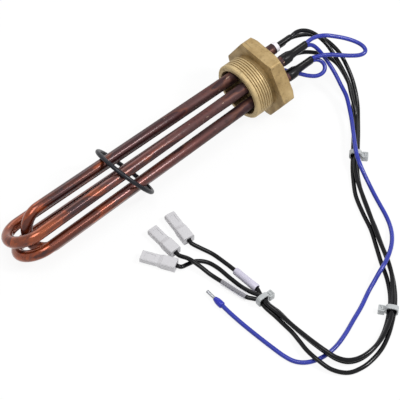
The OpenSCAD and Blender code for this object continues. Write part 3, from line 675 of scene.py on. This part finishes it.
class HEATER_OT_camera(bpy.types.Operator):
    """Camera at the photograph's angle"""

    bl_idname = "heater.camera"
    bl_label = "Camera"

    def execute(self, context):
        flat = math.cos(CAMERA_RISE)
        back = Vector((math.sin(CAMERA_TURN) * flat, -math.cos(CAMERA_TURN) * flat, math.sin(CAMERA_RISE)))
        data = bpy.data.cameras.new("camera")
        data.sensor_width = 36
        data.lens = CAMERA_LENS
        data.clip_start, data.clip_end = 0.05, 20
        camera = bpy.data.objects.new("camera", data)
        context.scene.collection.objects.link(camera)
        camera.location = CAMERA_TARGET + back * CAMERA_DISTANCE
        camera.rotation_mode = "QUATERNION"
        camera.rotation_quaternion = (-back).to_track_quat("-Z", "Y")
        context.scene.camera = camera
        return {"FINISHED"}


class HEATER_OT_leads(bpy.types.Operator):
    """Black leads, blue lead and blue links along their routes"""

    bl_idname = "heater.leads"
    bl_label = "Leads"

    def execute(self, context):
        radius = context.scene.heater_sizes.lead_d / 2
        for node, route in ROUTES.items():
            piece = smooth_wire(f"{node}_wire", [in_frame(p) for p in route], radius)
            black = node.startswith("black")
            wear(piece, "black_pvc" if black else "blue_pvc", "pvc_black" if black else "pvc_blue", node)
        return {"FINISHED"}


class HEATER_OT_plug(bpy.types.Operator):
    """Brass plug with its hexagon, recess, drilled holes and cut thread"""

    bl_idname = "heater.plug"
    bl_label = "Screw plug"

    def execute(self, context):
        sizes = context.scene.heater_sizes
        corner, edge_round = sizes.hex_af / 2 / math.cos(math.pi / 6), 1.1 * MM
        start()
        bpy.ops.mesh.primitive_cylinder_add(
            vertices=6, radius=corner, depth=HEX_BACK * MM, location=(HEX_BACK * MM / 2, 0, 0),
            rotation=(0, math.pi / 2, 0))
        plug = named("plug_body")
        edit()
        pick(plug, "EDGE", lambda middle, way: abs(way.x) > 0.9)
        bpy.ops.mesh.bevel(offset=edge_round, segments=3, affect="EDGES")
        bpy.ops.object.mode_set(mode="OBJECT")
        # The turned chamfers leave a curved edge on every flat, at the back most of all.
        c = corner / MM
        cut(plug, turned("hex_chamfer", [
            (0, 0), (0, c - 1.6), (0.45, c - 0.4), (HEX_BACK - 1.3, c - 0.3), (HEX_BACK, c - 2.5),
            (HEX_BACK, 0)], 96), "INTERSECT")
        # From inside the hexagon: undercut, thread, rim, and the wall and floor of the recess
        r, recess_r = sizes.thread_d / 2 / MM, 18.25
        cut(plug, turned("spigot", [
            (3, 0), (3, r - 1.6), (0.02, r - 1.6), (-2.2, r - 1.6), (-2.7, r - 1.4), (-3.4, r - 0.3), (-3.6, r),
            (-16.6, r), (-17.1, r - 0.2), (-17.9, r - 1.1), (-18, r - 1.4), (-18, 18.8), (-17.5, recess_r),
            (-5.8, recess_r), (-5.2, 18.0), (RECESS_FLOOR, 17.4), (RECESS_FLOOR, 0)], 128), "UNION")
        clearance, drill_length, drill_middle = 0.05 * MM, 20 * MM, Vector((3, 0, 0)) * MM
        for k in range(1, 7):
            start()
            bpy.ops.mesh.primitive_cylinder_add(
                vertices=48, radius=sizes.tube_d / 2 + clearance, depth=drill_length,
                location=drill_middle + around(k) * MM, rotation=(0, math.pi / 2, 0))
            cut(plug, named("drill"), "DIFFERENCE")
        cut(plug, self.thread_tool(sizes), "DIFFERENCE")
        settle(plug, HEATER, 30)
        wear(plug, "turned_brass", "brass", "screw_plug")
        return {"FINISHED"}

    def thread_tool(self, sizes):
        """A pointed tool swept along the thread's helix; it leaves the work at both ends."""
        pitch, depth, r = sizes.thread_pitch / MM, sizes.thread_depth / MM, sizes.thread_d / 2 / MM
        half, tip, clear = 0.27 * pitch, 0.08 * pitch, 0.3
        first_turn, turns, facets = -2.2, 7, 96
        run_out, run_out_length, rise = 14.2, 1.6, 1.3
        tool = point("thread_tool")
        outline = [(-half, r + clear), (-tip, r - depth), (tip, r - depth), (half, r + clear)]
        bpy.ops.transform.translate(value=[(outline[0][0] + first_turn) * MM, 0, outline[0][1] * MM])
        for a, b in zip(outline, outline[1:]):
            pull(b[0] - a[0], 0, b[1] - a[1])
        bpy.ops.mesh.select_all(action="SELECT")
        bpy.ops.mesh.edge_face_add()
        bpy.ops.mesh.delete(type="ONLY_FACE")
        bpy.ops.object.mode_set(mode="OBJECT")
        modify(tool, "SCREW", axis="X", angle=2 * math.pi, screw_offset=-sizes.thread_pitch, iterations=turns,
               steps=facets, render_steps=facets, use_merge_vertices=False, use_smooth_shade=False)
        # The last turn rises out of the work.
        for vertex in tool.data.vertices:
            over = max(0, -vertex.co.x / MM - run_out) / run_out_length
            lift = 1 + min(1, over) * rise / r
            vertex.co.y *= lift
            vertex.co.z *= lift
        hold(tool)
        edit()
        tidy_normals()
        bpy.ops.mesh.select_all(action="DESELECT")
        bpy.ops.mesh.select_non_manifold()
        bpy.ops.mesh.edge_face_add()
        bpy.ops.mesh.fill_holes(sides=0)
        leave()
        return tool


class HEATER_OT_tubes(bpy.types.Operator):
    """Three interlaced copper hairpins"""

    bl_idname = "heater.tubes"
    bl_label = "Heating tubes"

    def execute(self, context):
        radius, lengths = context.scene.heater_sizes.tube_d / 2, 8
        for i, (a, b, reach) in enumerate(HAIRPINS, 1):
            legs = [Vector((math.cos(math.radians(g)), math.sin(math.radians(g)))) * PITCH_R for g in (a, b)]
            middle, across = (legs[0] + legs[1]) / 2, legs[0] - legs[1]
            half, turn = across.length / 2, math.atan2(across.y, across.x)
            bend_x = radius / MM + BEND_R - reach
            # The legs lean outwards from the recess floor until they meet the bend.
            run = RECESS_FLOOR - bend_x
            lean = math.pi / 2 - math.atan2(half, run) - math.acos(BEND_R / math.hypot(run, half))
            foot = (bend_x + BEND_R * math.sin(lean), BEND_R * math.cos(lean))
            tube = disc(f"copper_tube_{i}", 40, radius, STUB_END, half)
            pull(RECESS_FLOOR - STUB_END, 0, 0)
            for _ in range(lengths):
                pull((foot[0] - RECESS_FLOOR) / lengths, (foot[1] - half) / lengths, 0)
            bpy.ops.mesh.spin(steps=48, angle=math.pi + 2 * lean, center=(bend_x * MM, 0, 0), axis=(0, 0, -1))
            for _ in range(lengths):
                pull((RECESS_FLOOR - foot[0]) / lengths, (foot[1] - half) / lengths, 0)
            pull(STUB_END - RECESS_FLOOR, 0, 0)
            leave()
            place = Matrix.Translation((0, middle.x * MM, middle.y * MM)) @ Matrix.Rotation(turn, 4, "X")
            settle(tube, HEATER @ place, 50)
            wear(tube, "oxidised_copper", "copper", f"heating_tube_{i}")
        return {"FINISHED"}


class HEATER_OT_ring(bpy.types.Operator):
    """Sealing ring with the fine line that its mould left"""

    bl_idname = "heater.ring"
    bl_label = "Sealing ring"

    def execute(self, context):
        sizes = context.scene.heater_sizes
        mean, section = (sizes.ring_id + sizes.ring_section) / 2, sizes.ring_section / 2
        mould_line = 0.06 * MM
        low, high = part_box("sealing_ring")
        start()
        bpy.ops.mesh.primitive_torus_add(
            major_segments=128, minor_segments=40, major_radius=mean, minor_radius=section - mould_line)
        ring = named("rubber_ring")
        edit()
        for outer in (True, False):
            pick(ring, "VERT", lambda p: abs(p.z) < 0.02 * MM and (p.xy.length > mean) == outer)
            share = 1 + (mould_line / (mean + section) if outer else -mould_line / (mean - section))
            bpy.ops.transform.resize(value=(share, share, 1), center_override=(0, 0, 0))
        bpy.ops.object.mode_set(mode="OBJECT")
        turn = Matrix.Rotation(RING_YAW, 4, "Z") @ Matrix.Rotation(math.pi / 2 - RING_LEAN, 4, "Y")
        settle(ring, Matrix.Translation((low + high) / 2) @ turn, 60)
        wear(ring, "nitrile_rubber", "ring_rubber", "sealing_ring")
        return {"FINISHED"}


class HEATER_OT_sleeves(bpy.types.Operator):
    """Shrink sleeves over the joints, and the soldered joint that is left bare"""

    bl_idname = "heater.sleeves"
    bl_label = "Shrink sleeves"

    def execute(self, context):
        for k in (1, 2, 5, 6):
            x, end, bore = BARE_JOINT if k == 5 else BUSH_END, SLEEVE_ONE_END, 1.62
            sleeve = turned(f"sleeve_{k}", [
                (x, bore), (x, 2.1), (x + 0.25, 2.32), (x + 1.5, 2.35), (x + 4, 2.3), (end - 4, 2.24),
                (end - 2.2, 2.28), (end - 0.6, 2.14), (end - 0.1, 1.98), (end, 1.85), (end, bore),
                (x, bore)], 32)
            settle(sleeve, at_terminal(k), 60)
            wear(sleeve, "shrunk_polyolefin", "sleeve_black", f"shrink_sleeve_{k}")
        for k in (3, 4):
            wear(self.double(k), "shrunk_polyolefin", "sleeve_black", f"shrink_sleeve_{k}")
        # The solder is drawn out along the pin and thinner at its end.
        start()
        bpy.ops.mesh.primitive_uv_sphere_add(segments=20, ring_count=12, radius=1.9 * MM)
        blob = named("solder_joint")
        edit()
        bpy.ops.mesh.select_all(action="SELECT")
        bpy.ops.transform.resize(value=(1.25, 1, 0.9))
        pick(blob, "VERT", lambda p: p.x > 0.5 * MM)
        grow(0.8, 0.8)
        bpy.ops.object.mode_set(mode="OBJECT")
        settle(blob, HEATER @ Matrix.Translation((around(5) + SOLDER) * MM), 60)
        wear(blob, "solder", "tin")
        return {"FINISHED"}

    def double(self, k):
        """Sleeve over two leads: round on the stub, drawn in to an oval over the leads."""
        # Place, and half the width and height there
        stations = [
            (20, 4.35, 4.35), (20.3, 4.5, 4.5), (24, 4.5, 4.5), (25.4, 4.42, 4.42), (27.2, 4.25, 4.3),
            (28.6, 3.5, 4.1), (30.2, 2.85, 3.98), (33, 2.6, 3.95), (37, 2.5, 3.95), (40, 2.45, 3.9),
            (43, 2.5, 3.95), (44.2, 2.4, 3.85), (44.5, 2.2, 3.6)]
        x, y, z = stations[0]
        sleeve = disc(f"sleeve_{k}", 40, MM, x)
        grow(y, z)
        for a, b in zip(stations, stations[1:]):
            pull(b[0] - a[0], 0, 0)
            grow(b[1] / a[1], b[2] / a[2])
        bpy.ops.mesh.inset(thickness=0.35 * MM)
        pull(-0.8, 0, 0)
        leave()
        return settle(sleeve, at_terminal(k), 60)


class HEATER_OT_connectors(bpy.types.Operator):
    """Nylon housings of the push-on connectors"""

    bl_idname = "heater.connectors"
    bl_label = "Connectors"

    def execute(self, context):
        model = self.housing()
        for i, (x, y, heading) in enumerate(CONNECTORS, 1):
            copy = model.copy()
            copy.data = model.data.copy()
            copy.name = copy.data.name = f"housing_{i}"
            context.scene.collection.objects.link(copy)
            settle(copy, beside(x, y, CONNECTOR_AXIS, heading), 12)
            wear(copy, "natural_nylon", "housing_nylon", f"connector_housing_{i}")
        bpy.data.objects.remove(model)
        return {"FINISHED"}

    def housing(self):
        """A housing along x: barrel round the wire, lower mouth with sunk panels, and both openings."""
        length, lip, barrel, blend = 26, 0.9, 10, 13
        barrel_w, barrel_h, mouth_w, mouth_h = 9, 7, 8.4, 5.4
        panel_start, panel_end = 15, 24
        start()
        bpy.ops.mesh.primitive_cube_add(
            size=1, location=(length * MM / 2, 0, 0), scale=(length * MM, barrel_w * MM, barrel_h * MM))
        model = named("housing")
        edit()
        for x in (lip, barrel, blend, panel_start, panel_end):
            bpy.ops.mesh.select_all(action="SELECT")
            bpy.ops.mesh.bisect(plane_co=(x * MM, 0, 0), plane_no=(1, 0, 0))
        pick(model, "VERT", lambda p: p.x > (blend - 0.1) * MM)
        grow(mouth_w / barrel_w, mouth_h / barrel_h)
        pick(model, "EDGE", lambda middle, way: abs(way.x) > 0.8)
        bpy.ops.mesh.bevel(offset=1.5 * MM, segments=4, affect="EDGES")
        # A shallow sunk panel on both broad sides of the mouth
        for side in (1, -1):
            pick(model, "FACE", lambda p, n: panel_start * MM < p.x < panel_end * MM and n.z * side > 0.99)
            bpy.ops.mesh.inset(thickness=0.7 * MM)
            pull(0, 0, -0.3 * side)
        # The mouth, and the hole for the wire
        pick(model, "FACE", lambda p, n: n.x > 0.99 and p.x > (length - 0.1) * MM)
        bpy.ops.mesh.inset(thickness=0.75 * MM)
        pull(-11.5, 0, 0)
        pick(model, "FACE", lambda p, n: n.x < -0.99 and p.x < 0.1 * MM)
        bpy.ops.mesh.inset(thickness=1.7 * MM)
        grow(0.65, 1)
        pull(2.2, 0, 0)
        leave()
        return soften(model, 0.22, 40)


class HEATER_OT_slack_sleeves(bpy.types.Operator):
    """Loose cloudy sleeves that were slid back along two leads"""

    bl_idname = "heater.slack_sleeves"
    bl_label = "Slack sleeves"

    def execute(self, context):
        for i, (x, y, heading) in enumerate(SLACKS, 1):
            sleeve = turned(f"loose_sleeve_{i}", [
                (0, 2.4), (0, 2.8), (0.3, 3), (6, 2.97), (7, 2.85), (20.4, 2.8), (20.8, 2.7), (21, 2.5),
                (21, 2.3), (7, 2.3), (6, 2.4), (0, 2.4)], 48)
            settle(sleeve, beside(x, y, SLACK_AXIS, heading), 40)
            wear(sleeve, "cloudy_pvc" if i == 1 else "clear_pvc", "sleeve_nylon", f"slack_sleeve_{i}")
        return {"FINISHED"}


class HEATER_OT_ferrule(bpy.types.Operator):
    """Wire-end ferrule: blue collar and crimped tinned tube"""

    bl_idname = "heater.ferrule"
    bl_label = "Ferrule"

    def execute(self, context):
        x, y, heading = FERRULE
        place = beside(x, y, FERRULE_AXIS, heading)
        collar = turned("collar", [
            (0, 1.65), (0, 2.1), (0.25, 2.35), (0.8, 2.5), (3.8, 2.5), (5.2, 2.38), (6.6, 2.0), (7.6, 1.78),
            (8, 1.62), (8, 1.22), (5, 1.22), (5, 1.65), (0, 1.65)], 40)
        settle(collar, place, 40)
        wear(collar, "moulded_polypropylene", "collar_blue", "ferrule_collar")
        # The crimping tool leaves six shallow waists.
        crimps, waist = 6, 0.9
        tube = disc("tinned_tube", 24, 1.2 * MM, WIRE_IN_FERRULE)
        pull(4, 0, 0)
        for _ in range(crimps):
            pull(0.25, 0, 0)
            grow(waist, waist)
            pull(0.35, 0, 0)
            pull(0.25, 0, 0)
            grow(1 / waist, 1 / waist)
            pull(0.2, 0, 0)
        pull(0.5, 0, 0)
        pull(0.2, 0, 0)
        grow(0.92, 0.92)
        bpy.ops.mesh.inset(thickness=0.2 * MM)
        pull(-0.3, 0, 0)
        leave()
        settle(tube, place, 30)
        wear(tube, "tinned_copper", "tin", "ferrule_tube")
        return {"FINISHED"}


class HEATER_OT_ties(bpy.types.Operator):
    """Cable ties: strap round the bundle, head with its slot, and cut tail"""

    bl_idname = "heater.ties"
    bl_label = "Cable ties"

    def execute(self, context):
        sizes = context.scene.heater_sizes
        for i, (x, y, heading, w, h, side) in enumerate(TIES, 1):
            strap = join(self.strap(f"tie_{i}", w, h, sizes), self.head(w, side, sizes))
            settle(strap, beside(x, y, 0, heading), 40)
            wear(strap, "clear_nylon", "tie_nylon", f"cable_tie_{i}")
        return {"FINISHED"}

    def strap(self, name, w, h, sizes):
        """The strap round a bundle of that width and height: an outline drawn along x and thickened."""
        width, thick = sizes.strap_w / MM, sizes.strap_t / MM
        start()
        bpy.ops.mesh.primitive_plane_add(
            size=1, rotation=(0, math.pi / 2, 0), location=(-width * MM / 2, 0, 0))
        strap = named(name)
        edit()
        bpy.ops.mesh.select_all(action="SELECT")
        grow(w * MM, h * MM)
        bpy.ops.mesh.select_mode(type="VERT")
        bpy.ops.mesh.select_all(action="SELECT")
        bpy.ops.mesh.bevel(offset=1.7 * MM, segments=6, affect="VERTICES")
        bpy.ops.mesh.select_mode(type="EDGE")
        bpy.ops.mesh.select_all(action="SELECT")
        bpy.ops.mesh.delete(type="ONLY_FACE")
        bpy.ops.mesh.select_all(action="SELECT")
        pull(width, 0, 0)
        bpy.ops.mesh.select_all(action="SELECT")
        bpy.ops.mesh.normals_make_consistent(inside=False)
        bpy.ops.transform.translate(value=(0, 0, (h / 2 + thick) * MM))
        bpy.ops.object.mode_set(mode="OBJECT")
        modify(strap, "SOLIDIFY", thickness=sizes.strap_t, offset=1, use_even_offset=True)
        return soften(strap, 0.25, 50)

    def head(self, w, side, sizes):
        """The head beside the bundle, with its sunk slot and the tail that was cut off above it."""
        length, depth, height = 5, 4.9, 5
        middle = side * (w / 2 + sizes.strap_t / MM + depth / 2)
        start()
        bpy.ops.mesh.primitive_cube_add(
            size=1, location=(0, middle * MM, height / 2 * MM), scale=(length * MM, depth * MM, height * MM))
        head = named("head")
        edit()
        pick(head, "EDGE", lambda p, way: abs(way.z) > 0.9)
        bpy.ops.mesh.bevel(offset=0.8 * MM, segments=3, affect="EDGES")
        pick(head, "FACE", lambda p, n: n.z > 0.99)
        bpy.ops.mesh.inset(thickness=0.9 * MM)
        pull(0, 0, -0.4)
        leave()
        soften(head, 0.3, 50)
        start()
        bpy.ops.mesh.primitive_cube_add(
            size=1, location=(0, (middle + 0.3) * MM, 4 * MM), scale=(2.8 * MM, 1.2 * MM, 2.4 * MM))
        tail = named("tail")
        edit()
        bpy.ops.mesh.select_all(action="SELECT")
        bpy.ops.mesh.bevel(offset=0.2 * MM, segments=2, affect="EDGES")
        bpy.ops.object.mode_set(mode="OBJECT")
        return join(head, tail)


class HEATER_OT_inner_pieces(bpy.types.Operator):
    """Finishes of the pieces that keep their own shape: bushes, pins, receptacles, coils and powder"""

    bl_idname = "heater.inner_pieces"
    bl_label = "Inner pieces"

    def execute(self, context):
        kinds = {"ceramic_bush": "steatite", "terminal_pin": "drawn_steel", "receptacle": "stamped_brass",
                 "magnesia_fill": "magnesia", "heating_coil": "resistance_wire"}
        for name, node in frame["nodes"].items():
            key = kinds.get(name.rstrip("_123456"))
            if key:
                node.data.materials.clear()
                node.data.materials.append(finish(key))
        return {"FINISHED"}


class HEATER_OT_declare(bpy.types.Operator):
    """An empty step, which changes nothing"""

    bl_idname = "heater.declare"
    bl_label = "Declare leads"

    def execute(self, context):
        return {"FINISHED"}


class HEATER_OT_stage(bpy.types.Operator):
    """White floor, soft lamps and even surroundings"""

    bl_idname = "heater.stage"
    bl_label = "Stage"

    def execute(self, context):
        scene = context.scene
        scene.view_settings.view_transform = "Standard"
        # The floor is 8 m wide and lies a hair below the leads.
        start()
        bpy.ops.mesh.primitive_plane_add(size=8, location=(0, 0, -0.05 * MM))
        floor = named("floor")
        floor.data.materials.append(self.paper(scene.heater_colours.floor))
        world = bpy.data.worlds.new("surroundings")
        scene.world = world
        world.use_nodes = True
        tree = world.node_tree
        tree.nodes.clear()
        even = add(tree, "ShaderNodeBackground", {"Color": grey(1), "Strength": SURROUNDING_LIGHT})
        white = add(tree, "ShaderNodeBackground", {"Color": grey(1), "Strength": 1})
        both = add(tree, "ShaderNodeMixShader", {0: self.seen(tree), 1: even, 2: white})
        add(tree, "ShaderNodeOutputWorld", {"Surface": both})
        for name, place, size, power in LAMPS:
            light = bpy.data.lights.new(name, "AREA")
            light.size = size
            light.energy = power
            lamp = bpy.data.objects.new(name, light)
            scene.collection.objects.link(lamp)
            lamp.location = place
            lamp.rotation_mode = "QUATERNION"
            lamp.rotation_quaternion = (LAMP_TARGET - Vector(place)).to_track_quat("-Z", "Y")
        return {"FINISHED"}

    def seen(self, tree):
        """1 for what the camera sees directly, mirrored or through a clear piece."""
        path = add(tree, "ShaderNodeLightPath").node.outputs
        direct = add(tree, "ShaderNodeMath", {0: path["Is Camera Ray"], 1: path["Is Glossy Ray"]},
                     operation="MAXIMUM")
        return add(tree, "ShaderNodeMath", {0: direct, 1: path["Is Transmission Ray"]}, operation="MAXIMUM")

    def paper(self, code):
        """White paper that keeps a faint shadow of the object."""
        material = bpy.data.materials.new("white_paper")
        material.use_nodes = True
        tree = material.node_tree
        tree.nodes.clear()
        plain = add(tree, "ShaderNodeBsdfDiffuse", {"Color": linear(code)})
        glow = add(tree, "ShaderNodeEmission", {"Color": grey(1), "Strength": 1})
        share = add(tree, "ShaderNodeMath", {0: self.seen(tree), 1: PAPER_GLOW}, operation="MULTIPLY")
        both = add(tree, "ShaderNodeMixShader", {0: share, 1: plain, 2: glow})
        add(tree, "ShaderNodeOutputMaterial", {"Surface": both})
        return material


STEPS = (
    HEATER_OT_camera, HEATER_OT_leads, HEATER_OT_plug, HEATER_OT_tubes, HEATER_OT_ring, HEATER_OT_sleeves,
    HEATER_OT_connectors, HEATER_OT_slack_sleeves, HEATER_OT_ferrule, HEATER_OT_ties, HEATER_OT_inner_pieces,
    HEATER_OT_declare, HEATER_OT_stage)


class HEATER_PT_panel(bpy.types.Panel):
    """Sizes, colours and steps of the heater"""

    bl_idname = "HEATER_PT_panel"
    bl_label = "Immersion heater"
    bl_space_type = "VIEW_3D"
    bl_region_type = "UI"
    bl_category = "Heater"

    def draw(self, context):
        for group in (context.scene.heater_sizes, context.scene.heater_colours):
            for key in group.bl_rna.properties.keys():
                if key not in ("rna_type", "name"):
                    self.layout.prop(group, key)
        for step in STEPS:
            self.layout.operator(step.bl_idname)


CLASSES = (HeaterSizes, HeaterColours, *STEPS, HEATER_PT_panel)


def register():
    """Adds the classes, and the sizes and colours of the scene."""
    for item in CLASSES:
        bpy.utils.register_class(item)
    bpy.types.Scene.heater_sizes = bpy.props.PointerProperty(type=HeaterSizes)
    bpy.types.Scene.heater_colours = bpy.props.PointerProperty(type=HeaterColours)


def unregister():
    """Takes out what register added."""
    del bpy.types.Scene.heater_colours
    del bpy.types.Scene.heater_sizes
    for item in reversed(CLASSES):
        bpy.utils.unregister_class(item)


def main():
    """Makes everything in order."""
    register()
    for step in STEPS:
        group, name = step.bl_idname.split(".")
        getattr(getattr(bpy.ops, group), name)()
    bpy.context.view_layer.update()


if __name__ == "__main__":
    main()
